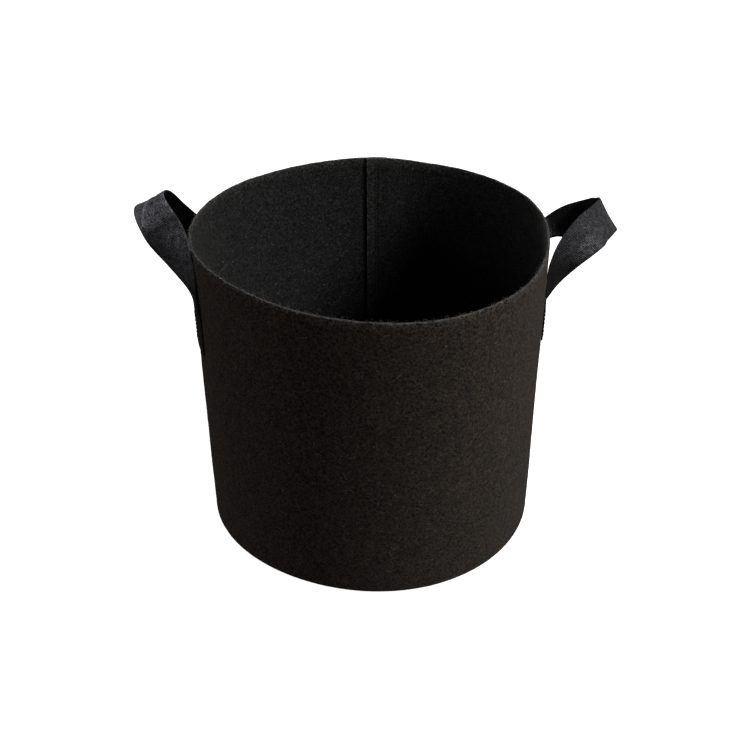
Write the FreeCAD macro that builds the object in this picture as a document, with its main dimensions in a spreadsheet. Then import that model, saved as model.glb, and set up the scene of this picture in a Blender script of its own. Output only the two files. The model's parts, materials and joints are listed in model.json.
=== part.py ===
import FreeCAD, Part
import math
import os
import Sketcher

# A round fabric grow bag: a tapered felt wall with one lapped seam, a felt base sewn in with its
# allowances turned inside, and two webbing handles sewn flat on the outside of the wall.
# It stands on the floor at z = 0, with z up and the bag's axis on z.

document = FreeCAD.newDocument("fabric_grow_bag")

# Driving dimensions, in millimetres and degrees. Azimuths turn anticlockwise from +X, seen from above.
DIMENSIONS = {
    "top_radius": 175.0,         # outside of the rim
    "base_radius": 163.0,        # outside of the wall, its slope carried down to the floor
    "wall_height": 310.0,
    "felt": 2.5,                 # thickness of the felt
    "corner_radius": 8.0,        # outside of the turn between the wall and the base
    "seam_allowance": 10.0,      # felt beyond the base seam, turned inside
    "lap_width": 21.0,           # overlap of the two ends of the wall
    "lap_azimuth": 83.5,
    "lap_foot": 16.0,            # height where the overlap starts, above the turned-in allowances
    "strap_width": 38.0,
    "strap_thickness": 1.6,
    "sewn_gap": 0.05,            # between faces that lie on each other
    "sewn_depth": 45.0,          # from the rim down to where a strap leaves the wall
    "sewn_length": 58.0,         # of each flat end, from there down
    "leg_angle": 14.5,           # from the middle of a handle to the middle of each leg
    "left_azimuth": 175.0,
    "right_azimuth": 5.0,
    "bend_offset": 4.5,          # from the chord between the legs out to the line a handle bends on
    "loop_height": 78.0,         # from that line to the top of the arch
    "loop_start": 9.0,           # left free beside the line, where the strap bends
    "twist_start": 0.15,         # share of each half of the arch before it twists
    "left_lean": 28.5,           # from upright, outwards
    "right_lean": 62.0,
    "left_sway": 0.0,            # sideways shift of the top of the arch
    "right_sway": 18.0,
    "thread": 0.7,
    "stitch": 3.0,               # length of one stitch
    "stitch_pitch": 4.0,
    "stitch_margin": 4.0,        # from a strap's edges to its box of stitches
    "box_height": 26.0,          # of that box, at the foot of each end of a strap
    "rim_margin": 4.0,           # from the rim to the first stitch of the side seam
}

sheet = document.addObject("Spreadsheet::Sheet", "dims")
for row, (alias, number) in enumerate(DIMENSIONS.items(), start=1):
    sheet.set(f"A{row}", alias)
    sheet.set(f"B{row}", str(number))
    sheet.setAlias(f"B{row}", alias)
document.recompute()

SIDES = ("left", "right")
ENDS = {"front": -1, "rear": 1}
SECTIONS = 24                    # spans of the lofted loop


def size(alias):
    return float(sheet.get(alias))


def taper_angle():
    return math.atan((size("top_radius") - size("base_radius")) / size("wall_height"))


# Expressions that the outlines share. A turn's centre is TURN_X out and corner_radius up.
TAPER = "atan((dims.top_radius - dims.base_radius) / dims.wall_height)"
TURN_X = f"(dims.base_radius - dims.corner_radius * (1 - sin({TAPER})) / cos({TAPER}))"
TURN_RISE = f"(dims.corner_radius * (1 - sin({TAPER})))"
SEAM_X = f"({TURN_X} + dims.corner_radius * sqrt(0.5))"
SEAM_Z = "(dims.corner_radius * (1 - sqrt(0.5)))"
FOLD_X = f"({SEAM_X} - dims.seam_allowance * sqrt(0.5))"
FOLD_Z = f"({SEAM_Z} + dims.seam_allowance * sqrt(0.5))"
LAYER = "(dims.felt * sqrt(0.5))"
WALL_INSIDE = f"(dims.felt / cos({TAPER}))"


def wall_x(height, inwards="0"):
    """Expression for the wall's outer face at a height, moved inwards by a horizontal distance."""
    return f"dims.base_radius + ({height}) * tan({TAPER}) - ({inwards})"


def new_body(label):
    body = document.addObject("PartDesign::Body", label)
    body.Label = label
    return body


def new_sketch(body, name):
    sketch = body.newObject("Sketcher::SketchObject", name)
    plane = next(item for item in body.Origin.OriginFeatures if item.Role == "XZ_Plane")
    sketch.AttachmentSupport = [(plane, "")]
    sketch.MapMode = "FlatFace"
    document.recompute()
    return sketch


def bind(sketch, kind, element, point, expression):
    number = float(sketch.evalExpression(expression))
    index = sketch.addConstraint(Sketcher.Constraint(kind, -1, 1, element, point, number))
    sketch.setExpression(f"Constraints[{index}]", expression)


def draw_outline(sketch, corners, arc_side=None):
    """Close an outline through corners given as expressions. The side after corner arc_side, where
    one is given, is the turn between the wall and the base."""
    points = []
    for across, up in corners:
        points.append(FreeCAD.Vector(sketch.evalExpression(across), sketch.evalExpression(up), 0))
    centre = FreeCAD.Vector(sketch.evalExpression(TURN_X), size("corner_radius"), 0)
    for side, start in enumerate(points):
        end = points[(side + 1) % len(points)]
        if side == arc_side:
            turns = [math.atan2(point.y - centre.y, point.x - centre.x) for point in (end, start)]
            circle = Part.Circle(centre, FreeCAD.Vector(0, 0, 1), size("corner_radius"))
            sketch.addGeometry(Part.ArcOfCircle(circle, *turns))
        else:
            sketch.addGeometry(Part.LineSegment(start, end))
    for side, (across, up) in enumerate(corners):
        before = (side - 1) % len(corners)
        start_point = 2 if side == arc_side else 1
        end_point = 1 if before == arc_side else 2
        sketch.addConstraint(Sketcher.Constraint("Coincident", before, end_point, side, start_point))
        bind(sketch, "DistanceX", side, start_point, across)
        bind(sketch, "DistanceY", side, start_point, up)
    if arc_side is not None:
        turn = Sketcher.Constraint("Radius", arc_side, size("corner_radius"))
        sketch.setExpression(f"Constraints[{sketch.addConstraint(turn)}]", "dims.corner_radius")
    document.recompute()


def revolve(body, sketch, name, angle=None):
    """Turn a sketch about the body's Z axis: all round, or half of the angle to each side."""
    turned = body.newObject("PartDesign::Revolution", name)
    turned.Profile = sketch
    turned.ReferenceAxis = (sketch, ["V_Axis"])
    if angle is None:
        turned.Angle = 360
    else:
        turned.Midplane = True
        turned.setExpression("Angle", angle)
    document.recompute()
    return turned


def turn_about_z(item, expression):
    item.Placement = FreeCAD.Placement(FreeCAD.Vector(0, 0, 0), FreeCAD.Rotation(0, 0, 1, 0.001))
    item.setExpression("Placement.Rotation.Angle", expression)
    document.recompute()


# ---- Felt: the wall and the base ----

def make_side_wall():
    body = new_body("side_wall")
    reach = f"({TURN_X} + {LAYER} - dims.base_radius + {WALL_INSIDE} - " \
            f"(dims.corner_radius + {LAYER}) * tan({TAPER})) / (1 + tan({TAPER}))"
    corners = [
        ("dims.top_radius", "dims.wall_height"),
        (f"dims.base_radius + {TURN_RISE} * tan({TAPER})", TURN_RISE),
        (SEAM_X, SEAM_Z),
        (FOLD_X, FOLD_Z),
        (f"{FOLD_X} + {LAYER}", f"{FOLD_Z} + {LAYER}"),
        (f"{TURN_X} + {LAYER} - {reach}", f"dims.corner_radius + {LAYER} + {reach}"),
        (f"dims.top_radius - {WALL_INSIDE}", "dims.wall_height"),
    ]
    outline = new_sketch(body, "wall_outline")
    draw_outline(outline, corners, arc_side=1)
    revolve(body, outline, "wall_turn")

    inner = f"2 * {WALL_INSIDE}"
    lap_corners = [
        (wall_x("dims.wall_height", f"{WALL_INSIDE} / 2"), "dims.wall_height"),
        (wall_x("dims.lap_foot", f"{WALL_INSIDE} / 2"), "dims.lap_foot"),
        (wall_x("dims.lap_foot", inner), "dims.lap_foot"),
        (wall_x("dims.wall_height", inner), "dims.wall_height"),
    ]
    lap = new_sketch(body, "lap_outline")
    draw_outline(lap, lap_corners)
    revolve(body, lap, "lap_turn", "dims.lap_width / dims.top_radius * 180 / pi")
    turn_about_z(body, "dims.lap_azimuth")


def make_base_panel():
    body = new_body("base_panel")
    rise = f"(2 * {LAYER} + dims.felt - dims.corner_radius - {LAYER})"
    corners = [
        ("0", "0"),
        ("0", "dims.felt"),
        (f"{TURN_X} - {LAYER} - {rise}", "dims.felt"),
        (f"{FOLD_X} - {LAYER}", f"{FOLD_Z} - {LAYER}"),
        (FOLD_X, FOLD_Z),
        (SEAM_X, SEAM_Z),
        (TURN_X, "0"),
    ]
    outline = new_sketch(body, "base_outline")
    draw_outline(outline, corners, arc_side=5)
    revolve(body, outline, "base_turn")


# ---- Webbing: four sewn legs and two free loops ----

def make_leg(side, end):
    body = new_body(f"{side}_{end}_leg")
    top = "dims.wall_height - dims.sewn_depth"
    foot = f"{top} - dims.sewn_length"
    back = f"-dims.sewn_gap / cos({TAPER})"
    face = f"-(dims.sewn_gap + dims.strap_thickness) / cos({TAPER})"
    corners = [(wall_x(top, back), top), (wall_x(foot, back), foot),
               (wall_x(foot, face), foot), (wall_x(top, face), top)]
    outline = new_sketch(body, f"{side}_{end}_leg_outline")
    draw_outline(outline, corners)
    revolve(body, outline, f"{side}_{end}_leg_turn", "dims.strap_width / dims.top_radius * 180 / pi")
    sign = "+" if ENDS[end] * (1 if side == "right" else -1) > 0 else "-"
    turn_about_z(body, f"dims.{side}_azimuth {sign} dims.leg_angle")


def strap_radius():
    """Distance from the bag's axis to the middle of the strap where it leaves the wall."""
    rise = size("wall_height") - size("sewn_depth")
    wall = size("base_radius") + rise * math.tan(taper_angle())
    return wall + size("sewn_gap") + size("strap_thickness") / 2


def loop_point(side, share):
    """Middle of the strap at a share of the way over the arch, in a frame whose X runs out through
    the middle of the handle. The arch is half an ellipse that leans outwards."""
    turn = math.pi * share
    spread = strap_radius() * math.sin(math.radians(size("leg_angle")))
    foot = strap_radius() * math.cos(math.radians(size("leg_angle"))) + size("bend_offset")
    mirror = 1 if side == "right" else -1
    along = -spread * math.cos(turn) + mirror * size(f"{side}_sway") * math.sin(turn) ** 2
    rise = size("loop_height") * math.sin(turn)
    lean = math.radians(size(f"{side}_lean"))
    height = size("wall_height") - size("sewn_depth") + rise * math.cos(lean)
    return FreeCAD.Vector(foot + rise * math.sin(lean), along, height)


def loop_section(side, share):
    """Cross-section of the strap. At the legs it lies along the round wall, and by the top of the
    arch it has twisted until its width points out of the arch."""
    step = 1e-4
    ahead = loop_point(side, share + step)
    tangent = (ahead - loop_point(side, share - step)).normalize()
    lean = math.radians(size(f"{side}_lean"))
    out_of_arch = FreeCAD.Vector(math.cos(lean), 0, -math.sin(lean))
    along_arch = tangent.cross(out_of_arch).normalize()
    late = size("twist_start")
    progress = max(0, (1 - abs(2 * share - 1) - late) / (1 - late))
    eased = progress * progress * (3 - 2 * progress)
    twist = math.radians(size("leg_angle") + (90 - size("leg_angle")) * eased)
    across = along_arch * math.cos(twist) + out_of_arch * math.sin(twist)
    half_width = across * (size("strap_width") / 2)
    half_depth = tangent.cross(across).normalize() * (size("strap_thickness") / 2)
    middle = loop_point(side, share)
    corners = [middle + half_width * i + half_depth * j for i, j in ((1, 1), (1, -1), (-1, -1), (-1, 1))]
    return Part.makePolygon(corners + corners[:1])


def make_loop(side):
    loop = document.addObject("Part::Feature", f"{side}_handle_loop")
    loop.Label = f"{side}_handle_loop"
    first = math.asin(size("loop_start") / size("loop_height")) / math.pi
    shares = [first + (1 - 2 * first) * step / SECTIONS for step in range(SECTIONS + 1)]
    sections = [loop_section(side, share) for share in shares]
    loop.Shape = Part.makeLoft(sections, True, True)
    loop.Placement = FreeCAD.Placement(FreeCAD.Vector(0, 0, 0), FreeCAD.Rotation(size(f"{side}_azimuth"), 0, 0))


# ---- Thread: every seam is a group of separate stitches ----

def stitch_bar(radius, azimuth, height, slant):
    """One stitch whose middle lies on a cone about z, slant degrees from level."""
    length, thread = size("stitch"), size("thread")
    bar = Part.makeBox(thread * 0.7, length, thread, FreeCAD.Vector(0, -length / 2, -thread / 2))
    bar.rotate(FreeCAD.Vector(0, 0, 0), FreeCAD.Vector(1, 0, 0), slant)
    bar.rotate(FreeCAD.Vector(0, 0, 0), FreeCAD.Vector(0, 1, 0), math.degrees(taper_angle()))
    bar.translate(FreeCAD.Vector(radius, 0, height))
    bar.rotate(FreeCAD.Vector(0, 0, 0), FreeCAD.Vector(0, 0, 1), azimuth)
    return bar


def both_faces(azimuth, height, slant, inside, outside):
    """The two stitches, one on each face, at distances inwards and outwards of the wall's outside."""
    wall = size("base_radius") + height * math.tan(taper_angle())
    sunk = size("thread") * 0.7 + size("sewn_gap")
    return [stitch_bar(wall - inside - sunk, azimuth, height, slant),
            stitch_bar(wall + outside + size("sewn_gap"), azimuth, height, slant)]


def add_stitches(label, bars, azimuth):
    stitches = document.addObject("Part::Feature", label)
    stitches.Label = label
    stitches.Shape = Part.makeCompound(bars)
    stitches.Placement = FreeCAD.Placement(FreeCAD.Vector(0, 0, 0), FreeCAD.Rotation(azimuth, 0, 0))


def row_of_stitches(start, end):
    """Middles of the stitches from start to end, two flat points (across, up), and their slant."""
    length = math.dist(start, end)
    count = int(length // size("stitch_pitch"))
    slant = math.degrees(math.atan2(end[1] - start[1], end[0] - start[0]))
    shares = [(step + 0.5) / count for step in range(count)]
    return [(start[0] + (end[0] - start[0]) * share, start[1] + (end[1] - start[1]) * share, slant)
            for share in shares]


def make_side_seam():
    foot = size("lap_foot") + size("stitch_pitch")
    top = size("wall_height") - size("rim_margin")
    double = 2 * size("felt") / math.cos(taper_angle())
    bars = []
    for _, height, slant in row_of_stitches((0, foot), (0, top)):
        bars += both_faces(0, height, slant, double, 0)
    add_stitches("side_seam_stitches", bars, size("lap_azimuth"))


def make_leg_stitches(side, end):
    """A box of stitches with a cross in it, through the strap and the wall."""
    half = size("strap_width") / 2 - size("stitch_margin")
    foot = size("wall_height") - size("sewn_depth") - size("sewn_length") + size("stitch_margin")
    top = foot + size("box_height")
    lines = [((-half, top), (half, top)), ((-half, foot), (half, foot)),
             ((-half, foot), (-half, top)), ((half, foot), (half, top)),
             ((-half, foot), (half, top)), ((-half, top), (half, foot))]
    single = size("felt") / math.cos(taper_angle())
    cover = 2 * size("sewn_gap") + size("strap_thickness")
    bars = []
    for start, finish in lines:
        for across, height, slant in row_of_stitches(start, finish):
            azimuth = math.degrees(across / size("top_radius"))
            bars += both_faces(azimuth, height, slant, single, cover)
    mirror = 1 if side == "right" else -1
    azimuth = size(f"{side}_azimuth") + mirror * ENDS[end] * size("leg_angle")
    add_stitches(f"{side}_{end}_leg_stitches", bars, azimuth)


def make_base_seam():
    """The thread that closes the base seam, a ring in the corner above the turned-in wall edge."""
    body = new_body("base_seam_thread")
    outline = new_sketch(body, "thread_outline")
    offset = "((dims.felt + dims.thread / 2 + dims.sewn_gap) * sqrt(0.5))"
    run = "(dims.seam_allowance / 2 * sqrt(0.5))"
    outline.addGeometry(Part.Circle(FreeCAD.Vector(1, 1, 0), FreeCAD.Vector(0, 0, 1), size("thread") / 2))
    bind(outline, "DistanceX", 0, 3, f"{SEAM_X} - {run} + {offset}")
    bind(outline, "DistanceY", 0, 3, f"{SEAM_Z} + {run} + {offset}")
    width = outline.addConstraint(Sketcher.Constraint("Radius", 0, size("thread") / 2))
    outline.setExpression(f"Constraints[{width}]", "dims.thread / 2")
    document.recompute()
    revolve(body, outline, "thread_turn")


make_side_wall()
make_base_panel()
make_side_seam()
make_base_seam()
for side_name in SIDES:
    make_loop(side_name)
    for end_name in ENDS:
        make_leg(side_name, end_name)
        make_leg_stitches(side_name, end_name)
document.recompute()

for item in document.Objects:
    if "Invalid" in item.State or "Error" in item.State:
        raise RuntimeError(f"{item.Name} failed: {item.State}")

os.makedirs("parts", exist_ok=True)
for item in document.Objects:
    if item.TypeId not in ("PartDesign::Body", "Part::Feature"):
        continue
    if item.Shape.isNull() or not item.Shape.isValid():
        raise RuntimeError(f"{item.Label} has no valid shape")
    item.Shape.exportStep(f"parts/{item.Label}.step")
    print(f"{item.Label}: {len(item.Shape.Solids)} solids, {item.Shape.Volume / 1000:.2f} cm3")
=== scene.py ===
import json
import math
import bmesh
import bpy
import numpy as np
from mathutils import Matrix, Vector, noise


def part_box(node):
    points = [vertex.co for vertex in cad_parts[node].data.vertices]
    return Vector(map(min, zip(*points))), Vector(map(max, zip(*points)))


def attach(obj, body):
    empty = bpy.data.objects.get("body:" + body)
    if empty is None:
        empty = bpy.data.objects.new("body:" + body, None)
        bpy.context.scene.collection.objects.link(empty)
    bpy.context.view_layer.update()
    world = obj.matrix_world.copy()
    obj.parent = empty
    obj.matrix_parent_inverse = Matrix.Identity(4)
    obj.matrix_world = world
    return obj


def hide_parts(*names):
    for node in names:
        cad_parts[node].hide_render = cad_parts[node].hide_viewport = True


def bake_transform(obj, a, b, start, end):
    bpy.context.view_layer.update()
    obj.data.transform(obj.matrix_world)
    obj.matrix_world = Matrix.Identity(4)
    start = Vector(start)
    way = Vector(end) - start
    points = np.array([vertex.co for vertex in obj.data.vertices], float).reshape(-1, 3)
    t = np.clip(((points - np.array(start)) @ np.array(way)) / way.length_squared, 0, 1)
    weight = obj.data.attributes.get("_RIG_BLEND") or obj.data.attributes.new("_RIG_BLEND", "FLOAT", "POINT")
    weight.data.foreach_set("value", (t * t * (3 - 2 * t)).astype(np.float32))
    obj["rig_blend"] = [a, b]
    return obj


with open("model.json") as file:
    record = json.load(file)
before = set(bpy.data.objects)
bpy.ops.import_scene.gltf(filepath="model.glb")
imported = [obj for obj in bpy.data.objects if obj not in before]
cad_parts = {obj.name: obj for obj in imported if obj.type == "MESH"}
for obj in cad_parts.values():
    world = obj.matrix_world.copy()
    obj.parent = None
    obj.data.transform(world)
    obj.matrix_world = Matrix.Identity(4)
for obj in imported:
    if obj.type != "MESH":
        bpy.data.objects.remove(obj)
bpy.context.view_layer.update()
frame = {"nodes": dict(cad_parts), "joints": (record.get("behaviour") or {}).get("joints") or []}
scene = bpy.context.scene
mm = 0.001
print("frame loaded:", len(frame["nodes"]), "nodes")


# small helpers for shapes, all in millimetres until a mesh is made

def smoothStep(value, low, high):
    share = np.clip((np.asarray(value, float) - low) / (high - low), 0, 1)
    return share * share * (3 - 2 * share)


def softNoise(points, featureSize, seed):
    # smooth noise of about -0.7 to 0.7 with features as large as featureSize
    shift = Vector((17.3, 5.1, 9.7)) * seed
    places = (points.reshape(-1, 3) / featureSize).tolist()
    values = [noise.noise(Vector(place) + shift) for place in places]
    return np.array(values).reshape(points.shape[:-1])


def onAzimuth(radius, azimuth, height):
    angle = np.radians(azimuth)
    radius, angle, height = np.broadcast_arrays(radius, angle, height)
    return np.stack([radius * np.cos(angle), radius * np.sin(angle), height], axis=-1)


def splineBasis(count, steps):
    # clamped uniform cubic spline: the weight of each control point at each step
    knots = np.concatenate([np.zeros(3), np.linspace(0, 1, count - 2), np.ones(3)])
    place = np.linspace(0, 1 - 1e-9, steps)[:, None]
    weight = ((place >= knots[:-1]) & (place < knots[1:])).astype(float)
    for degree in (1, 2, 3):
        left = knots[degree:-1] - knots[:-degree - 1]
        right = knots[degree + 1:] - knots[1:-degree]
        none = np.zeros((steps, len(left)))
        rising = np.divide(place - knots[:-degree - 1], left, out=none.copy(), where=left > 0)
        falling = np.divide(knots[degree + 1:] - place, right, out=none.copy(), where=right > 0)
        weight = rising * weight[:, :-1] + falling * weight[:, 1:]
    return weight


def unit(vectors):
    return vectors / np.linalg.norm(vectors, axis=-1, keepdims=True)


def addObject(name, mesh):
    piece = bpy.data.objects.new(name, mesh)
    scene.collection.objects.link(piece)
    return piece


def addSheet(name, outer, inner, ring=False, pole=False, marks=None):
    # a closed shell from the points of a sheet's two faces, row by row; a ring's last row meets its
    # first, and a pole draws the first column to one point. Marks are values at the two faces' points.
    rows, columns = outer.shape[:2]
    front = np.arange(rows * columns).reshape(rows, columns)
    if ring:
        front = np.vstack([front, front[:1]])
    back = front + rows * columns

    def quads(a, b):
        return np.stack([a[:-1], a[1:], b[1:], b[:-1]], axis=-1).reshape(-1, 4)

    faces = [quads(front[:, k], front[:, k + 1]) for k in range(columns - 1)]
    faces += [quads(back[:, k + 1], back[:, k]) for k in range(columns - 1)]
    faces.append(quads(front[:, -1], back[:, -1]))
    if not pole:
        faces.append(quads(back[:, 0], front[:, 0]))
    if not ring:
        faces += [quads(back[0], front[0]), quads(front[-1], back[-1])]
    faces = np.concatenate(faces)
    points = np.concatenate([outer.reshape(-1, 3), inner.reshape(-1, 3)]) * mm
    corners = points[faces]
    volume = sum((np.cross(corners[:, 0], corners[:, k]) * corners[:, k + 1]).sum() for k in (1, 2))
    if volume < 0:
        faces = faces[:, ::-1]
    mesh = bpy.data.meshes.new(name)
    mesh.from_pydata(points.tolist(), [], faces.tolist())
    for mark, values in (marks or {}).items():
        spread = np.concatenate([np.broadcast_to(value, (rows, columns)).ravel() for value in values])
        mesh.attributes.new(mark, "FLOAT", "POINT").data.foreach_set("value", spread.astype(np.float32))
    if pole:
        shell = bmesh.new()
        shell.from_mesh(mesh)
        bmesh.ops.remove_doubles(shell, verts=shell.verts, dist=1e-6)
        shell.to_mesh(mesh)
        shell.free()
    mesh.shade_smooth()
    return addObject(name, mesh)


# materials

def colour(code):
    # sRGB hex to linear
    channels = [int(code[k:k + 2], 16) / 255 for k in (1, 3, 5)]
    return (*[c / 12.92 if c <= 0.04045 else ((c + 0.055) / 1.055) ** 2.4 for c in channels], 1)


def addNode(tree, kind, sockets=None, **settings):
    # sockets: name or index of an input, and its value or the output that it is linked from
    node = tree.nodes.new(kind)
    for name, value in settings.items():
        setattr(node, name, value)
    for key, value in (sockets or {}).items():
        if isinstance(value, bpy.types.NodeSocket):
            tree.links.new(value, node.inputs[key])
        else:
            node.inputs[key].default_value = value
    return node


def newMaterial(name):
    material = bpy.data.materials.new(name)
    material.use_nodes = True
    tree = material.node_tree
    tree.nodes.clear()
    metres = addNode(tree, "ShaderNodeTexCoord").outputs["Object"]
    place = addNode(tree, "ShaderNodeMapping", {"Vector": metres, "Scale": (1 / mm,) * 3}).outputs[0]
    return material, tree, place


def noiseOf(tree, place, featureSize, detail=2.0, roughness=0.5, distortion=0.0):
    # grain whose features are as large as featureSize, in millimetres
    sockets = {"Vector": place, "Scale": 1 / featureSize, "Detail": detail,
               "Roughness": roughness, "Distortion": distortion}
    return addNode(tree, "ShaderNodeTexNoise", sockets).outputs["Fac"]


def rangeOf(tree, value, low, high, toLow=0.0, toHigh=1.0):
    sockets = {"Value": value, 1: low, 2: high, 3: toLow, 4: toHigh}
    return addNode(tree, "ShaderNodeMapRange", sockets).outputs[0]


def mixOf(tree, share, first, second):
    return addNode(tree, "ShaderNodeMix", {0: share, 6: first, 7: second}, data_type="RGBA").outputs[2]


def mathOf(tree, operation, first, second=0.0):
    return addNode(tree, "ShaderNodeMath", {0: first, 1: second}, operation=operation).outputs[0]


def attributeOf(tree, name):
    return addNode(tree, "ShaderNodeAttribute", attribute_name=name).outputs["Fac"]


def scaledBy(tree, body, shade):
    sockets = {0: body, "Scale": shade}
    return addNode(tree, "ShaderNodeVectorMath", sockets, operation="SCALE").outputs[0]


def finish(tree, baseColour, height, bumpDistance, shader):
    relief = {"Height": height, "Strength": 1.0, "Distance": bumpDistance * mm}
    bump = addNode(tree, "ShaderNodeBump", relief).outputs[0]
    sockets = {"Base Color": baseColour, "Normal": bump, **shader}
    principled = addNode(tree, "ShaderNodeBsdfPrincipled", sockets)
    addNode(tree, "ShaderNodeOutputMaterial", {"Surface": principled.outputs[0]})


feltFinish = {
    "outside": "#231b14",       # a warm black, as dyed recycled polyester is
    "inside": "#131313",
    "pale": "#454341",          # pale fibres among the black ones
    # pale felt of the cut rim, also laid on the side seam's lap as painted light
    "cutEdgeAndLapLight": "#3a3836",
    "grain": 2.1,               # mm; felt's own grain is 0.3 mm, too fine to show, so it is drawn coarser
    "clump": 9.0,               # where the needles gathered the fibres
    "drift": 6.0,               # how far the fibres wander from a straight line
    "fibreLength": 7.0,
    "fibreWidth": 0.9,
    "fibreTurns": ((0.3, 0.9, 0.2), (1.4, 0.2, 1.9), (0.8, 2.1, 0.7)),      # ways the fibres lie
    "fibreShow": 0.45,
    "speck": 5.0,
    "grainShade": 2.1,          # how bright the palest grain is; the darkest is black
    "clumpShade": (0.8, 1.2),
    "bump": 0.45,
}


def makeFeltFinish():
    # needle-punched polyester felt: matt, hairy, mottled where the needles gathered the fibres
    material, tree, place = newMaterial("needlePunchedFelt")
    f = feltFinish
    grain = noiseOf(tree, place, f["grain"], 2.5, 0.6, 0.6)
    clumps = noiseOf(tree, place, f["clump"], 2)
    wander = addNode(tree, "ShaderNodeTexNoise", {"Vector": place, "Scale": 1 / f["clump"]})
    drift = {0: wander.outputs["Color"], 1: (f["drift"],) * 3, 2: place}
    bent = addNode(tree, "ShaderNodeVectorMath", drift, operation="MULTIPLY_ADD").outputs[0]
    fibreScale = (1 / f["fibreLength"], 1 / f["fibreWidth"], 1 / f["fibreWidth"])
    streaks = None
    for turn in f["fibreTurns"]:
        turned = {"Vector": bent, "Rotation": turn, "Scale": fibreScale}
        laid = addNode(tree, "ShaderNodeMapping", turned).outputs[0]
        streak = noiseOf(tree, laid, 1.0, 1.0)
        streaks = streak if streaks is None else mathOf(tree, "MAXIMUM", streaks, streak)
    cells = addNode(tree, "ShaderNodeTexVoronoi", {"Vector": bent, "Scale": 1 / f["speck"]})
    specks = rangeOf(tree, cells.outputs["Distance"], 0.05, 0.16, 1.0, 0.0)
    specks = mathOf(tree, "MULTIPLY", specks, rangeOf(tree, clumps, 0.45, 0.6))
    inside = attributeOf(tree, "inside")
    cutEdgeAndLapLight = attributeOf(tree, "cutEdgeAndLapLight")
    body = mixOf(tree, inside, colour(f["outside"]), colour(f["inside"]))
    pale = mathOf(tree, "MULTIPLY", rangeOf(tree, streaks, 0.6, 0.85), f["fibreShow"])
    body = mixOf(tree, pale, body, colour(f["pale"]))
    body = mixOf(tree, specks, body, colour(f["pale"]))
    # pale cut rim, and painted light on the lap
    body = mixOf(tree, cutEdgeAndLapLight, body, colour(f["cutEdgeAndLapLight"]))
    grainShade = rangeOf(tree, grain, 0.36, 0.64, 0.0, f["grainShade"])
    clumpShade = rangeOf(tree, clumps, 0.3, 0.7, *f["clumpShade"])
    body = scaledBy(tree, body, mathOf(tree, "MULTIPLY", grainShade, clumpShade))
    height = mathOf(tree, "ADD", grain, mathOf(tree, "MULTIPLY", streaks, 0.8))
    finish(tree, body, height, f["bump"], {
        "Roughness": 0.95, "Specular IOR Level": 0.14, "Sheen Weight": 0.13, "Sheen Roughness": 0.45,
        "Sheen Tint": colour("#cfccc8")})
    return material


webbingFinish = {
    "yarn": "#0a0a0b",
    "paintedSheen": "#7c7c82",          # painted sheen: grey laid over the black yarn where the strap faces the lamp
    "highlightedCrease": "#a0a0a4",        # painted highlight along the crest of a fold that was pressed into the strap
    "ribPitch": 1.75,           # mm
    "yarnWidth": 1.3,
    "mottle": 6.0,              # size of the blotches in the painted sheen
    "mottling": (0.25, 1.3),
    "speckle": 1.6,
    "speckling": (0.3, 1.6),
    "groovePaintedSheen": 0.35,         # how much of the painted sheen reaches the grooves between the ribs; the rest is painted shade in the grooves
    "bump": 0.35,
}


def makeWebbingFinish():
    # woven polypropylene webbing: slightly glossy yarns in ribs across the strap
    material, tree, place = newMaterial("wovenPolypropyleneWebbing")
    w = webbingFinish
    uv = addNode(tree, "ShaderNodeUVMap", uv_map="strapUV").outputs[0]
    yarnScale = (1 / w["yarnWidth"], 1 / w["ribPitch"], 1)
    yarns = addNode(tree, "ShaderNodeMapping", {"Vector": uv, "Scale": yarnScale}).outputs[0]
    weave = noiseOf(tree, yarns, 1.0, 2.0)
    mottled = rangeOf(tree, noiseOf(tree, place, w["mottle"], 3), 0.3, 0.68, *w["mottling"])
    speckled = rangeOf(tree, noiseOf(tree, place, w["speckle"], 2), 0.3, 0.7, *w["speckling"])
    # painted light and shade on the strap: grey painted sheen where it faces the lamp, less of it in the
    # grooves, and bare black yarn as painted shade where it lies in shade
    crest = rangeOf(tree, attributeOf(tree, "rib"), 0.0, 1.0, w["groovePaintedSheen"], 1.0)
    paintedSheen = mathOf(tree, "MULTIPLY", mathOf(tree, "MULTIPLY", mottled, crest), attributeOf(tree, "paintedLightAndShade"))
    body = mixOf(tree, paintedSheen, colour(w["yarn"]), colour(w["paintedSheen"]))
    # the fold's crest is painted pale, as a highlight
    body = mixOf(tree, attributeOf(tree, "highlightedCrease"), body, colour(w["highlightedCrease"]))
    weaveShade = rangeOf(tree, weave, 0.3, 0.7, 0.6, 1.4)
    body = scaledBy(tree, body, mathOf(tree, "MULTIPLY", weaveShade, speckled))
    finish(tree, body, mathOf(tree, "ADD", weave, speckled), w["bump"], {
        "Roughness": 0.6, "Specular IOR Level": 0.12, "Sheen Weight": 0.02, "Sheen Roughness": 0.4,
        "Sheen Tint": colour("#d8d8dc")})
    return material


threadFinish = {"fibre": "#1e1d1d", "glint": "#2c2b2b", "twist": 0.5, "bump": 0.1}


def makeThreadFinish():
    # bonded polyester sewing thread, twisted, so it glints a little
    material, tree, place = newMaterial("bondedPolyesterThread")
    t = threadFinish
    twist = noiseOf(tree, place, t["twist"], 2)
    body = mixOf(tree, rangeOf(tree, twist, 0.35, 0.65), colour(t["fibre"]), colour(t["glint"]))
    finish(tree, body, twist, t["bump"], {"Roughness": 0.5, "Specular IOR Level": 0.5})
    return material


looseFibreFinish = {"dark": "#2c2b2a", "pale": "#777370", "variation": 3.0, "bump": 0.01}


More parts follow.
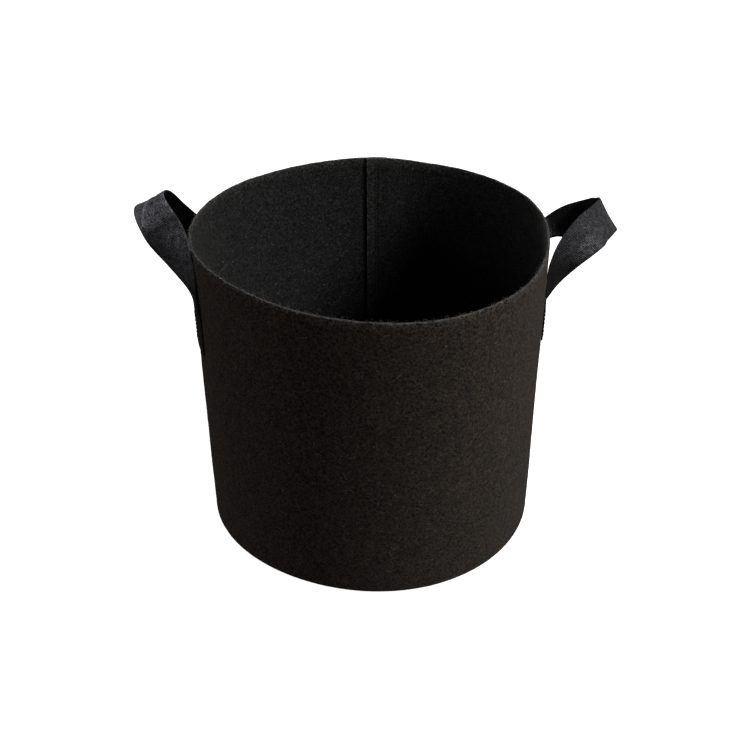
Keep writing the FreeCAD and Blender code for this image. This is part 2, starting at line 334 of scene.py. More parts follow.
def makeLooseFibreFinish():
    # single polyester fibres pulled out of the felt, most of them black, some grey lint
    material, tree, place = newMaterial("loosePolyesterFibre")
    f = looseFibreFinish
    lint = rangeOf(tree, noiseOf(tree, place, f["variation"], 1), 0.5, 0.66)
    body = mixOf(tree, lint, colour(f["dark"]), colour(f["pale"]))
    finish(tree, body, lint, f["bump"], {"Roughness": 0.7, "Sheen Weight": 0.3})
    return material


felt = makeFeltFinish()
webbing = makeWebbingFinish()
threadMaterial = makeThreadFinish()
looseFibre = makeLooseFibreFinish()
print("materials made")


# the felt wall

lowest, highest = (np.array(corner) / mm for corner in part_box("side_wall"))
wall = {
    "height": highest[2],
    "rimRadius": (highest[1] - lowest[1]) / 2,
    "baseRadius": 163.0,        # the wall's slope carried down to the floor
    "felt": 2.5,
    "turn": 8.0,                # outside of the turn between wall and base
    "allowance": 10.0,          # felt beyond the base seam, turned inside
    "rimWaves": ((2, 5.7, 161), (3, 3.9, -132), (4, 1.3, -66)),    # waves around, mm, phase
    "baseWaves": ((2, 0.6, -6), (3, 1.9, 154), (4, 0.8, -8)),
    "innerEdge": 87.0,          # azimuths of the two cut edges of the lapped side seam
    "outerEdge": 80.0,
    "seam": 83.5,
    "layerStep": 2.6,           # how far the lap's inner layer lies inside the wall
    "footStep": 0.4,            # the same at the foot, where the seam presses the layers together
    "easing": 10.0,             # degrees over which it comes back out
    "lapPaintedLight": 0.18,            # painted light on the lap between its cut edge and the stitches, where the inner layer bulges toward the lamp
    "lapWidth": 2.6,            # degrees
    "dent": 0.9,
    "dentSize": 75.0,
    "seamRise": 2.6,            # how much higher the rim stands at the seam
    "seamRiseWidth": 42.0,
    "lapLift": 0.78,            # how much higher the rim stands where the inner layer comes back out
    "seamDip": 0.6,             # the groove that the side seam pulls into both faces
    "seamDipWidth": 1.1,
    "footDip": 0.5,             # the shallow groove above the turn
    "footDipHeight": 11.5,
    "footDipWidth": 2.2,
    "ragged": 0.4,              # unevenness of the cut rim
    "rimBand": 18.0,            # depth of the part below the rim that is uneven
    "roughness": 0.16,          # small unevenness of both faces
    "rimWander": 0.35,          # of the rim, in and out
    "rounding": 0.75,           # of the cut edges
    "heights": 52,
    "step": 0.66,               # degrees
}
slope = (wall["rimRadius"] - wall["baseRadius"]) / wall["height"]
lean = math.atan(slope)
turnCentre = wall["baseRadius"] + slope * wall["turn"] - wall["turn"] / math.cos(lean)
seamPoint = np.array([turnCentre, wall["turn"]]) + wall["turn"] * math.sqrt(0.5) * np.array([1, -1])
foldWay = math.sqrt(0.5) * np.array([-1, 1])        # along the turned-in allowances, in the section
foldSide = math.sqrt(0.5) * np.array([1, 1])        # towards the wall
foldShares = (0.15, 0.35, 0.6, 0.85, 0.97)          # where the allowances have their rows of points


def outOfRound(azimuth, height):
    # how far the soft wall stands outside a true circle
    share = np.clip(height / wall["height"], 0, 1)
    total = 0
    for waves, part in (("rimWaves", share), ("baseWaves", 1 - share)):
        for count, size, phase in wall[waves]:
            total = total + part * size * np.cos(np.radians(count * azimuth + phase))
    return total


def dents(azimuth, height):
    places = onAzimuth(wall["rimRadius"], azimuth, height)
    return wall["dent"] * softNoise(places, wall["dentSize"], 1) * smoothStep(height, 15, 60)


def wallRadius(azimuth, height):
    azimuth, height = np.broadcast_arrays(np.asarray(azimuth, float), np.asarray(height, float))
    return wall["baseRadius"] + slope * height + outOfRound(azimuth, height) + dents(azimuth, height)


def arcPoints(radius, start, end, count):
    angles = np.radians(np.linspace(start, end, count))
    out, up = radius * np.cos(angles), radius * np.sin(angles)
    return np.stack([turnCentre + out, wall["turn"] + up], axis=1)


def wallSection():
    # (radius, height) along the wall's outer and inner faces, from the rim to the allowance's cut edge
    felt, top, cut = wall["felt"], wall["height"], wall["rounding"]
    across = np.array([math.cos(lean), -math.sin(lean)])
    down = np.array([-math.sin(lean), -math.cos(lean)])
    corner = np.array([wall["baseRadius"] + slope * top, top])
    tangent = np.array([turnCentre, wall["turn"]]) + wall["turn"] * across
    innerAngle = 45 - math.degrees(math.asin(felt / (wall["turn"] - felt)))
    faces = []
    for depth, arcEnd, side in ((0.0, 45.0, 1), (felt, innerAngle, -1)):
        edge = [corner - across * (depth + side * cut),
                corner - across * (depth + side * cut * 0.3) + down * cut * 0.3]
        run = [corner - across * depth + down * cut + (tangent - corner - down * cut) * share
               for share in np.linspace(0, 1, wall["heights"]) ** 0.9]
        arc = arcPoints(wall["turn"] - depth, -math.degrees(lean), -arcEnd, 8)[1:]
        foldStart, foldEnd = arc[-1], seamPoint + foldWay * wall["allowance"] + foldSide * depth
        fold = [foldStart + (foldEnd - foldStart) * share for share in foldShares]
        last = foldEnd + foldSide * side * felt * 0.2
        faces.append(np.array([*edge, *run, *arc, *fold, last]))
    return faces


foldLine = {"from": (0.4, 266.0), "to": (19.7, 277.0), "width": 5.0, "height": 0.9}


def foldMark(azimuth, height):
    # a shallow crease that the bag was folded on, inside the right of the wall
    start, end = np.array(foldLine["from"]), np.array(foldLine["to"])
    share = np.clip((azimuth - start[0]) / (end[0] - start[0]), -0.3, 1.3)
    line = start[1] + (end[1] - start[1]) * share
    fade = smoothStep(azimuth, -5, 3) * (1 - smoothStep(azimuth, 17, 25))
    return foldLine["height"] * np.exp(-((height - line) / foldLine["width"]) ** 2) * fade


def makeWall():
    # from the lap's inner cut edge once round to its outer one, with closer steps in the lap
    turned = [np.arange(0, 18, 0.3), np.arange(18, 357, wall["step"]), np.arange(357, 367.01, 0.25)]
    turned = np.concatenate(turned)
    lapAngle = wall["innerEdge"] - wall["outerEdge"]
    turned = turned * (lapAngle + 360) / turned[-1]
    azimuth = (wall["innerEdge"] - turned)[:, None]
    layer = 1 - smoothStep(turned, lapAngle, lapAngle + wall["easing"])
    fromSeam = (np.radians((azimuth - wall["seam"] + 180) % 360 - 180)) * wall["rimRadius"]
    outerSection, innerSection = wallSection()
    faces = []
    for section, side in ((outerSection, 1), (innerSection, -1)):
        radius, height = section[:, 0][None], section[:, 1][None]
        places = onAzimuth(wall["rimRadius"], azimuth, height)
        top = smoothStep(height, wall["height"] - wall["rimBand"], wall["height"])
        inward = wall["footStep"] + (wall["layerStep"] - wall["footStep"]) * smoothStep(height, 8, 30)
        radius = radius + outOfRound(azimuth, height) + dents(azimuth, height) - layer[:, None] * inward
        dip = np.exp(-(fromSeam / wall["seamDipWidth"]) ** 2) * smoothStep(height, 12, 20)
        radius = radius - side * wall["seamDip"] * dip
        radius = radius + wall["roughness"] * softNoise(places, 7, 2 + side)
        radius = radius + wall["rimWander"] * top * softNoise(places, 16, 5)
        if side > 0:
            dip = np.exp(-((height - wall["footDipHeight"]) / wall["footDipWidth"]) ** 2)
            radius = radius - wall["footDip"] * dip
        radius = radius + foldMark(azimuth, height)
        eased = (layer * smoothStep(turned, 6, 8))[:, None] * wall["lapLift"]
        rise = wall["seamRise"] * np.exp(-(fromSeam / wall["seamRiseWidth"]) ** 2)
        height = height + top * (eased + rise)
        unevenness = 1.4 * softNoise(places, 45, 7) + 0.8 * softNoise(places, 9, 8)
        height = height + top * wall["ragged"] * unevenness
        faces.append(onAzimuth(radius, azimuth, height))
    cutMark = np.zeros(len(outerSection))
    cutMark[:3] = 1.0, 0.9, 0.35
    # painted light on the lap strip beside its cut edge, carried in the cut edge mark
    lap = wall["lapPaintedLight"] * (turned < wall["lapWidth"])[:, None]
    return addSheet("feltWall", faces[0], faces[1], marks={
        "inside": (0.0, 1.0), "cutEdgeAndLapLight": (cutMark, np.maximum(cutMark, lap))})


feltWall = makeWall()
feltWall.data.materials.append(felt)
print("wall made:", len(feltWall.data.polygons), "faces")


# the felt base

base = {
    "azimuths": 300,
    "rings": 14,
    "lift": 0.25,               # how far the middle of the disc stands off the floor
    "ripple": 0.45,
    "rippleSize": 45.0,
    "gap": 0.05,                # between the two layers of the turned-in seam
}


def makeBase():
    felt, turn = wall["felt"], wall["turn"]
    innerAngle = 45 + math.degrees(math.asin(felt / (turn - felt)))
    seamLift = foldSide * base["gap"]
    sections = []
    for depth, arcEnd, side in ((0.0, 45.0, 1), (felt, innerAngle, -1)):
        disc = [np.array([turnCentre * share, depth]) for share in np.linspace(0, 1, base["rings"])]
        arc = arcPoints(turn - depth, -90, -arcEnd, 8)[1:]
        foldEnd = seamPoint + foldWay * wall["allowance"] - foldSide * depth
        fold = [arc[-1] + (foldEnd - arc[-1]) * share - seamLift for share in foldShares]
        sections.append(np.array([*disc, *arc, *fold, foldEnd - foldSide * side * felt * 0.2]))
    azimuth = np.arange(0, 360, 360 / base["azimuths"])[:, None]
    faces = []
    for section in sections:
        radius, height = section[:, 0][None], section[:, 1][None]
        share = np.clip(radius / turnCentre, 0, 1)
        places = onAzimuth(radius, azimuth, 0.0)
        ripple = base["lift"] + base["ripple"] * softNoise(places, base["rippleSize"], 11)
        height = height + np.maximum(ripple, 0) * (1 - smoothStep(share, 0.9, 1.0))
        faces.append(onAzimuth(radius + share * outOfRound(azimuth, 0.0), azimuth, height))
    return addSheet("feltBase", faces[0], faces[1], ring=True, pole=True, marks={"inside": (0.0, 1.0)})


feltBase = makeBase()
feltBase.data.materials.append(felt)
print("base made")


# the two webbing handles, each one strap sewn flat to the wall at both ends

strap = {
    "width": 38.0,
    "thickness": 1.6,
    "gap": 0.05,
    "hinge": 265.0,             # height of the line that a handle swings on
    "reach": 173.1,             # from the bag's axis to where the handle's own coordinates start
    "foot": 207.0,              # height of the strap's two cut ends
    "legAngle": 14.5,           # from the handle's middle to the middle of each end
    "ribPitch": webbingFinish["ribPitch"],
    "ribHeight": 0.26,
    "rowsToRib": 6,
    "columns": 27,
    "selvedge": 1.6,            # width of the plain edges
    "stiffness": 4.0,           # length over which a bend is spread
    "leaving": (-16.0, 2.0),    # heights about the leaving line over which a strap comes off the wall
    "wave": 0.25,               # unevenness of the free part
    "waveSize": 26.0,
    # a little painted sheen on the strap's inner face
    "innerPaintedSheen": 0.03,
    "creaseWidth": 1.2,
    "creaseHeight": 0.5,
    "fold": (-2.0, 14.0),       # from below to above the hinge line, where a swinging strap bends
    "ends": {"front": -1, "rear": 1},
}
# Routes are out of the wall, to the rear and up from the hinge line, with the way the strap's face looks
# there. Each end, front first, leaves the wall at a height that rises by its peel from edge to edge.
handles = {
    "left": {
        "azimuth": 175.0, "turn": -1, "lean": 28.5, "leaves": (256.0, 255.5), "peel": (0.0, 0.0),
        # painted light and shade along the strap, in mm from its front end and share of painted sheen: black
        # near the wall as painted shade, grey where it faces the lamp
        "paintedLightAndShade": ((0, 0.02), (62, 0.0), (78, 0.28), (95, 0.4), (112, 0.12),
                 (126, 0.12), (142, 1.4), (172, 2.2), (190, 0.3), (300, 0.05)),
        "paintedHighlightPatch": (112.0, 9.0, 13.0, 0.5),      # painted highlight patch: along and across the strap, size, strength
        # line of a pressed fold that carries a painted highlight on its crest, from start to end, along and
        # across the strap
        "highlightedCrease": ((167.0, 3.5), (137.0, -14.0)),
        "route": ((-0.5, -41.5, 14.5), (14.0, -35.0, 54.5), (36.0, -24.0, 81.5),
                  (30.5, 8.0, 78.5), (14.5, 44.5, 32.5), (10.5, 47.0, 19.0)),
        "faces": ((0.69, -0.38, 0.62), (0.34, -0.15, 0.93), (0.79, 0.16, 0.6),
                  (0.15, -0.48, 0.86), (0.27, 0.11, 0.96), (0.48, 0.75, 0.45)),
    },
    "right": {
        "azimuth": 5.0, "turn": 1, "lean": 62.0, "leaves": (234.0, 263.0), "peel": (46.0, 0.0),
        # painted light and shade along this strap too: black by the front leg as painted shade, grey where it
        # faces the lamp
        "paintedLightAndShade": ((0, 0.0), (66, 0.0), (82, 0.1), (100, 0.16),
                 (130, 0.2), (160, 0.27), (200, 0.08), (300, 0.02)),
        # painted highlight patch on the strap's rear edge, which turns down away from the lamp
        "paintedHighlightPatch": (100.0, -12.0, 14.0, 0.6),
        "highlightedCrease": None,
        "route": ((3.5, -34.5, 13.0), (33.5, -34.0, 44.5), (58.5, -3.0, 42.0),
                  (65.0, 12.5, 39.0), (62.0, 53.0, 14.5), (7.5, 45.5, 11.0)),
        "faces": ((-0.11, -0.74, -0.67), (-0.92, -0.27, -0.29), (0.48, -0.74, 0.47),
                  (0.02, 0.95, -0.31), (0.92, 0.39, -0.02), (0.97, 0.05, -0.25)),
    },
}


def handleAxes(handle):
    # out of the wall, to the rear, and up
    angle = math.radians(handle["azimuth"])
    return np.array([[math.cos(angle), math.sin(angle), 0],
                     [-handle["turn"] * math.sin(angle), handle["turn"] * math.cos(angle), 0],
                     [0, 0, 1]])


def legPoint(handle, end, height):
    # the middle of the strap where it lies on the wall, in the handle's own axes
    azimuth = handle["azimuth"] + handle["turn"] * end * strap["legAngle"]
    radius = float(wallRadius(azimuth, height)) + strap["gap"] + strap["thickness"] / 2
    angle = math.radians(end * strap["legAngle"])
    return np.array([radius * math.cos(angle), radius * math.sin(angle), height])


def strapRows(handle):
    # evenly spaced middles along the strap, with its own way and the way its face looks
    controls, normals = [], []
    for end, leaves in zip((-1, 1), handle["leaves"]):
        angle = math.radians(strap["legAngle"])
        count = 5 if leaves > 250 else 4        # a longer leg takes one point more
        leg = [legPoint(handle, end, height) for height in np.linspace(strap["foot"], leaves, count)]
        controls.append(leg if end < 0 else leg[::-1])
        normals.append([(math.cos(angle), end * math.sin(angle), 0)] * len(leg))
    route = [np.array(point) + (strap["reach"], 0, strap["hinge"]) for point in handle["route"]]
    faces = [unit(np.array(face)) for face in handle["faces"]]
    controls = np.array(controls[0] + route + controls[1])
    normals = np.array(normals[0] + faces + normals[1])
    fineSteps = 4000
    weight = splineBasis(len(controls), fineSteps)
    middle, normal = weight @ controls, weight @ normals
    along = np.concatenate([[0], np.cumsum(np.linalg.norm(np.diff(middle, axis=0), axis=1))])
    count = int(along[-1] / strap["ribPitch"] * strap["rowsToRib"])
    even = np.linspace(0, along[-1], count)
    middle, normal = (np.stack([np.interp(even, along, column) for column in values.T], axis=1)
                      for values in (middle, normal))
    tangent = unit(np.gradient(middle, axis=0))
    normal = unit(normal - (normal * tangent).sum(axis=1, keepdims=True) * tangent)
    return even, middle, tangent, normal


def smoothAlong(values, spread):
    # eases the bends along a strap, whose ends stay as they are
    reach = int(3 * spread)
    weights = np.exp(-0.5 * (np.arange(-reach, reach + 1) / spread) ** 2)
    weights /= weights.sum()
    before = 2 * values[:1] - values[reach:0:-1]
    after = 2 * values[-1:] - values[-2:-reach - 2:-1]
    padded = np.concatenate([before, values, after])
    return sum(weight * padded[k:k + len(values)] for k, weight in enumerate(weights))


def liesOnWall(handle, middle, flat, across):
    # 1 where the strap is sewn or lies flat, 0 where it is free, by a height between its middle's and its own
    share = np.zeros(flat.shape[:2])
    height = (middle[:, None, 2] + flat[..., 2]) / 2
    rows = len(flat) // 2
    for part, leaves, peel in zip((slice(0, rows), slice(rows, None)), handle["leaves"], handle["peel"]):
        line = leaves + peel * (0.5 + across / strap["width"])
        share[part] = 1 - smoothStep(height[part], line + strap["leaving"][0], line + strap["leaving"][1])
    return share


def creaseOf(handle, place):
    # 1 on the line where the strap was once folded hard
    if not handle["highlightedCrease"]:
        return np.zeros(place.shape[:2])
    start, end = np.array(handle["highlightedCrease"])
    share = np.clip((place - start) @ (end - start) / ((end - start) @ (end - start)), 0, 1)[..., None]
    away = np.linalg.norm(place - start - share * (end - start), axis=-1)
    return np.exp(-(away / strap["creaseWidth"]) ** 2)


def makeStrap(side):
    handle = handles[side]
    axes = handleAxes(handle)
    along, middle, tangent, normal = strapRows(handle)
    half = strap["width"] / 2
    inner = np.linspace(-half + 1.1, half - 1.1, strap["columns"])
    across = np.concatenate([[-half, -half + 0.35], inner, [half - 0.35, half]])
    binormal = np.cross(normal, tangent)
    flat = middle[:, None] + binormal[:, None] * across[None, :, None]
    edge = np.clip((half - np.abs(across)) / 0.9, 0, 1)
    thickness = strap["thickness"] * (0.35 + 0.65 * np.sqrt(edge))
    ribs = np.cos(2 * np.pi * along / strap["ribPitch"])[:, None]
    ribs = ribs * smoothStep(half - np.abs(across), strap["selvedge"] * 0.6, strap["selvedge"] * 1.4)
    flat = smoothAlong(flat, strap["stiffness"] * strap["rowsToRib"] / strap["ribPitch"])
    onWall = liesOnWall(handle, middle, flat, across)
    share = onWall[..., None]
    world = flat @ axes
    azimuth = np.degrees(np.arctan2(world[..., 1], world[..., 0]))
    azimuth = handle["azimuth"] + (azimuth - handle["azimuth"] + 180) % 360 - 180
    onFace = wallRadius(azimuth, world[..., 2]) + strap["gap"] + strap["thickness"] / 2
    sheet = world * (1 - share) + onAzimuth(onFace, azimuth, world[..., 2]) * share
    sides = unit((normal @ axes)[:, None] * (1 - share) + onAzimuth(1.0, azimuth, 0.0) * share)
    wave = strap["wave"] * softNoise(sheet, strap["waveSize"], 21) * (1 - onWall)
    sheet = sheet + sides * wave[..., None]
    place = np.stack(np.broadcast_arrays(along[:, None], across[None]), axis=-1)
    # painted light and shade along the strap, read from its table
    paintedLightAndShade = np.interp(along, *np.transpose(handle["paintedLightAndShade"]))[:, None]
    # a painted highlight patch, added to the painted light and shade along the strap
    *middleOfPatch, patchSize, strength = handle["paintedHighlightPatch"]
    paintedLightAndShade = paintedLightAndShade + strength * np.exp(-(np.linalg.norm(place - middleOfPatch, axis=-1) / patchSize) ** 2)
    creased = creaseOf(handle, place)
    sheet = sheet + sides * strap["creaseHeight"] * creased[..., None]
    outerOffset = thickness / 2 + strap["ribHeight"] * (ribs - 1) / 2
    innerOffset = thickness / 2 - strap["ribHeight"] * (ribs + 1) / 4        # ribs half as high
    faces = [sheet + sides * outerOffset[..., None], sheet - sides * innerOffset[..., None]]
    piece = addSheet(side + "Handle", faces[0], faces[1], marks={
        "rib": (ribs * 0.5 + 0.5, ribs * -0.5 + 0.5), "paintedLightAndShade": (paintedLightAndShade, strap["innerPaintedSheen"]),
        "highlightedCrease": (creased, 0.0)})
    layout = np.tile(place[..., ::-1].reshape(-1, 2), (2, 1))
    loops = np.zeros(len(piece.data.loops), int)
    piece.data.loops.foreach_get("vertex_index", loops)
    layout = layout[loops].astype(np.float32)
    piece.data.uv_layers.new(name="strapUV").data.foreach_set("uv", layout.ravel())
    piece.data.materials.append(webbing)
    print(side, "handle made:", round(along[-1]), "mm of webbing,", len(piece.data.polygons), "faces")
    return piece, along[-1]


straps = {side: makeStrap(side) for side in handles}


# thread and loose fibres, grown by node trees

def newTree(name, inputs):
    # inputs: name, kind of socket
    tree = bpy.data.node_groups.new(name, "GeometryNodeTree")
    tree.interface.new_socket("Geometry", in_out="INPUT", socket_type="NodeSocketGeometry")
    for title, kind in inputs:
        tree.interface.new_socket(title, in_out="INPUT", socket_type="NodeSocket" + kind)
    tree.interface.new_socket("Geometry", in_out="OUTPUT", socket_type="NodeSocketGeometry")
    return tree, addNode(tree, "NodeGroupInput").outputs


def endTree(tree, instances, material):
    real = addNode(tree, "GeometryNodeRealizeInstances", {"Geometry": instances}).outputs[0]
    painted = addNode(tree, "GeometryNodeSetMaterial", {"Geometry": real, "Material": material})
    smooth = addNode(tree, "GeometryNodeSetShadeSmooth", {"Geometry": painted.outputs[0]})
    addNode(tree, "NodeGroupOutput", {"Geometry": smooth.outputs[0]})


def grow(name, source, tree, settings):
    # runs a tree on a mesh and keeps the result as a plain piece
    piece = addObject(name, source)
    modifier = piece.modifiers.new(name, "NODES")
    modifier.node_group = tree
    for socket in tree.interface.items_tree:
        if socket.in_out == "INPUT" and socket.name in settings:
            modifier[socket.identifier] = settings[socket.name]
    evaluated = piece.evaluated_get(bpy.context.evaluated_depsgraph_get())
    result = bpy.data.meshes.new_from_object(evaluated)
    piece.modifiers.remove(modifier)
    piece.data = result
    result.name = name
    print(name, "made:", len(result.polygons), "faces")
    return piece


def stitchTree():
    # one loop of thread at each step of a line, laid along it and flat on the cloth
    inputs = (("Pitch", "Float"), ("Length", "Float"), ("Thread", "Float"), ("Material", "Material"))
    tree, given = newTree("stitches", inputs)
    line = addNode(tree, "GeometryNodeMeshToCurve", {"Mesh": given["Geometry"]}).outputs[0]
    spaced = addNode(tree, "GeometryNodeResampleCurve", {
        "Curve": line, "Length": given["Pitch"]}, mode="LENGTH")
    tangent = addNode(tree, "GeometryNodeInputTangent").outputs[0]
    stored = addNode(tree, "GeometryNodeInputNamedAttribute", {
        "Name": "outward"}, data_type="FLOAT_VECTOR")
    along = addNode(tree, "FunctionNodeAlignRotationToVector", {"Vector": tangent}, axis="X").outputs[0]
    turned = addNode(tree, "FunctionNodeAlignRotationToVector", {
        "Rotation": along, "Vector": stored.outputs[0]}, axis="Z", pivot_axis="X").outputs[0]
    loop = addNode(tree, "GeometryNodeMeshUVSphere", {
        "Segments": 8, "Rings": 6, "Radius": 0.5}).outputs[0]
    size = addNode(tree, "ShaderNodeCombineXYZ", {
        0: given["Length"], 1: given["Thread"], 2: given["Thread"]}).outputs[0]
    placed = addNode(tree, "GeometryNodeInstanceOnPoints", {
        "Points": spaced.outputs[0], "Instance": loop, "Rotation": turned, "Scale": size}).outputs[0]
    endTree(tree, placed, given["Material"])
    return tree


def fibreTree():
    # bent three-sided strands scattered on a face, each with one end in the felt
    inputs = (("Density", "Float"), ("Length", "Float"), ("Thickness", "Float"), ("Standing", "Float"),
              ("Seed", "Int"), ("Material", "Material"))
    tree, given = newTree("looseFibres", inputs)
    spread = addNode(tree, "GeometryNodeDistributePointsOnFaces", {
        "Mesh": given["Geometry"], "Density": given["Density"],
        "Seed": given["Seed"]}, distribute_method="RANDOM")
    high = mathOf(tree, "MULTIPLY", given["Length"], given["Standing"])
    aside = mathOf(tree, "MULTIPLY", given["Length"], 0.25)
    middle = addNode(tree, "ShaderNodeCombineXYZ", {0: aside, 1: aside, 2: high}).outputs[0]
    tip = addNode(tree, "ShaderNodeCombineXYZ", {0: given["Length"], 2: high}).outputs[0]
    bend = addNode(tree, "GeometryNodeCurveQuadraticBezier", {
        "Resolution": 4, "Start": (0, 0, -0.1 * mm), "Middle": middle, "End": tip}).outputs[0]
    profile = addNode(tree, "GeometryNodeCurvePrimitiveCircle", {
        "Resolution": 3, "Radius": given["Thickness"]}).outputs[0]
    strand = addNode(tree, "GeometryNodeCurveToMesh", {
        "Curve": bend, "Profile Curve": profile, "Fill Caps": True}).outputs[0]
    spin = addNode(tree, "FunctionNodeRandomValue", {
        0: (-0.25, -0.25, 0), 1: (0.25, 0.25, 2 * math.pi),
        "Seed": given["Seed"]}, data_type="FLOAT_VECTOR").outputs[0]
    turned = addNode(tree, "FunctionNodeRotateRotation", {
        "Rotation": spread.outputs["Rotation"], "Rotate By": spin}, rotation_space="LOCAL").outputs[0]
    size = addNode(tree, "FunctionNodeRandomValue", {2: 0.4, 3: 1.5, "Seed": given["Seed"]}).outputs[1]
    placed = addNode(tree, "GeometryNodeInstanceOnPoints", {
        "Points": spread.outputs["Points"], "Instance": strand,
        "Rotation": turned, "Scale": size}).outputs[0]
    endTree(tree, placed, given["Material"])
    return tree


stitches = {
    "pitch": 4.0,
    "length": 3.3,
    "thread": 0.75,
    "proud": 0.1,               # how far a stitch's middle stands off the cloth
    "margin": 4.0,              # from the strap's edges to its box of stitches
    "boxHeight": 26.0,
    "seamFoot": 20.0,           # height where the side seam's stitches start
    "rimMargin": 4.0,
    "baseRow": 4.5,             # from the base seam's bend to its stitches
    "sunk": 0.25,               # how far the side seam pulls its thread in
}
stitchNodes = stitchTree()


def stitchRows(name, rows):
    # rows: points of a line and the way out of the cloth there, closed if its ends are the same
    vertices, edges, outward = [], [], []
    for points, out in rows:
        closed = np.allclose(points[0], points[-1])
        points, out = (points[:-1], out[:-1]) if closed else (points, out)
        first, count = len(vertices), len(points)
        vertices += (points * mm).tolist()
        outward += out.tolist()
        edges += [(first + k, first + (k + 1) % count) for k in range(count if closed else count - 1)]
    mesh = bpy.data.meshes.new(name)
    mesh.from_pydata(vertices, edges, [])
    mesh.attributes.new("outward", "FLOAT_VECTOR", "POINT").data.foreach_set("vector", np.ravel(outward))
    s = stitches
    return grow(name, mesh, stitchNodes, {"Pitch": s["pitch"] * mm, "Length": s["length"] * mm,
                                          "Thread": s["thread"] * mm, "Material": threadMaterial})


def rowsOnBothFaces(azimuth, height, outside, inside):
    # the same line on the outer face and, facing in, on the inner one
    azimuth, height = np.broadcast_arrays(np.asarray(azimuth, float), np.asarray(height, float))
    radius = wallRadius(azimuth, height)
    out = onAzimuth(1.0, azimuth, 0.0)
    proud = stitches["proud"]
    return [(onAzimuth(radius + outside + proud, azimuth, height), out),
            (onAzimuth(radius - inside - proud, azimuth, height), -out)]


def makeSideSeam():
    height = np.linspace(stitches["seamFoot"], wall["height"] - stitches["rimMargin"], 80)
    inside = wall["felt"] + wall["layerStep"] - stitches["sunk"]
    rows = rowsOnBothFaces(wall["seam"], height, -stitches["sunk"], inside)
    return stitchRows("sideSeamStitches", rows)


def makeBaseSeam():
    azimuth = np.linspace(0, 360, 361)
    rows = []
    for side in (1, -1):
        off = side * (wall["felt"] + stitches["proud"])
        radius, height = seamPoint + foldWay * stitches["baseRow"] + foldSide * off
        radius = radius + outOfRound(azimuth, height)
        out = onAzimuth(foldSide[0] * side, azimuth, foldSide[1] * side)
        rows.append((onAzimuth(radius, azimuth, height), out))
    return stitchRows("baseSeamStitches", rows)


def makeLegStitches(side, leg):
    # a box of stitches with a cross in it, through the strap and the wall
    handle = handles[side]
    middle = handle["azimuth"] + handle["turn"] * strap["ends"][leg] * strap["legAngle"]
    half = strap["width"] / 2 - stitches["margin"]
    low = strap["foot"] + stitches["margin"]
    high = low + stitches["boxHeight"]
    corners = [(-half, low), (half, low), (half, high), (-half, high), (-half, low), (half, high)]
    lines = [*zip(corners[:-1], corners[1:]), ((-half, high), (half, low))]
    rows = []
    for start, end in lines:
        across, height = np.linspace(start, end, 12).T
        azimuth = middle + np.degrees(across / wall["rimRadius"])
        rows += rowsOnBothFaces(azimuth, height, strap["gap"] + strap["thickness"], wall["felt"])
    return stitchRows(side + leg.capitalize() + "Stitches", rows)


sideSeam = makeSideSeam()
baseSeam = makeBaseSeam()
legStitches = {(side, leg): makeLegStitches(side, leg) for side in handles for leg in strap["ends"]}

fuzz = {
    # density is in fibres to the square metre, standing is the rise of a fibre of its length
    "wall": {"density": 5200.0, "length": 4.0, "standing": 0.12, "seed": 4},
    "rim": {"density": 330000.0, "length": 2.6, "standing": 0.5, "seed": 9},
    "thickness": 0.05,
    "lowest": 12.0,             # height of the lowest faces of the wall that carry fibres
    "rimMark": 0.3,             # least cut-edge value of a face of the rim; the lap's painted light stays below it
}
fibreNodes = fibreTree()


def faceBand(kept):
    # a copy of the wall's faces that pass a test, for fibres to stand on
    band = feltWall.data.copy()
    shell = bmesh.new()
    shell.from_mesh(band)
    cutEdgeAndLapLight = shell.verts.layers.float["cutEdgeAndLapLight"]
    dropped = [face for face in shell.faces if not kept(face, cutEdgeAndLapLight)]
    bmesh.ops.delete(shell, geom=dropped, context="FACES")
    shell.to_mesh(band)
    shell.free()
    return band


def aboveTurn(face, cutEdgeAndLapLight):
    # so that no fibre reaches the floor
    return face.calc_center_median().z >= fuzz["lowest"] * mm


def onRim(face, cutEdgeAndLapLight):
    return min(vertex[cutEdgeAndLapLight] for vertex in face.verts) >= fuzz["rimMark"]


def makeFuzz(part, kept):
    f = fuzz[part]
    return grow(part + "Fibres", faceBand(kept), fibreNodes, {
        "Density": f["density"], "Length": f["length"] * mm, "Thickness": fuzz["thickness"] * mm,
        "Standing": f["standing"], "Seed": f["seed"], "Material": looseFibre})


wallFuzz = makeFuzz("wall", aboveTurn)
rimFuzz = makeFuzz("rim", onRim)

stray = {
    "azimuth": 211.0,
    "thickness": 0.16,
    "path": ((0, 0, 0), (1.5, 0.5, 4), (5.0, 1.0, 8), (9.0, 1.0, 12)),
}


def makeStrayFibre():
    # one pale fibre that stands up from the rim
    curve = bpy.data.curves.new("strayFibre", "CURVE")
    curve.dimensions = "3D"
    curve.bevel_depth = stray["thickness"] * mm
    curve.bevel_resolution = 1
    curve.use_fill_caps = True
    line = curve.splines.new("NURBS")
    azimuth, rim = stray["azimuth"], wall["height"]
    foot = onAzimuth(float(wallRadius(azimuth, rim)) - 1.2, azimuth, rim - 1)     # in the felt
    line.points.add(len(stray["path"]) - 1)
    for point, step in zip(line.points, stray["path"]):
        point.co = (*((foot + step) * mm), 1)
    line.order_u = 3
    line.use_endpoint_u = True
    holder = addObject("strayFibreLine", curve)
    mesh = bpy.data.meshes.new_from_object(holder)
    bpy.data.objects.remove(holder)
    mesh.materials.clear()
    mesh.materials.append(looseFibre)
    mesh.shade_smooth()
    return addObject("strayFibre", mesh)


strayFibre = makeStrayFibre()


# hide the model's parts that these pieces replace, and attach each piece to what it moves with

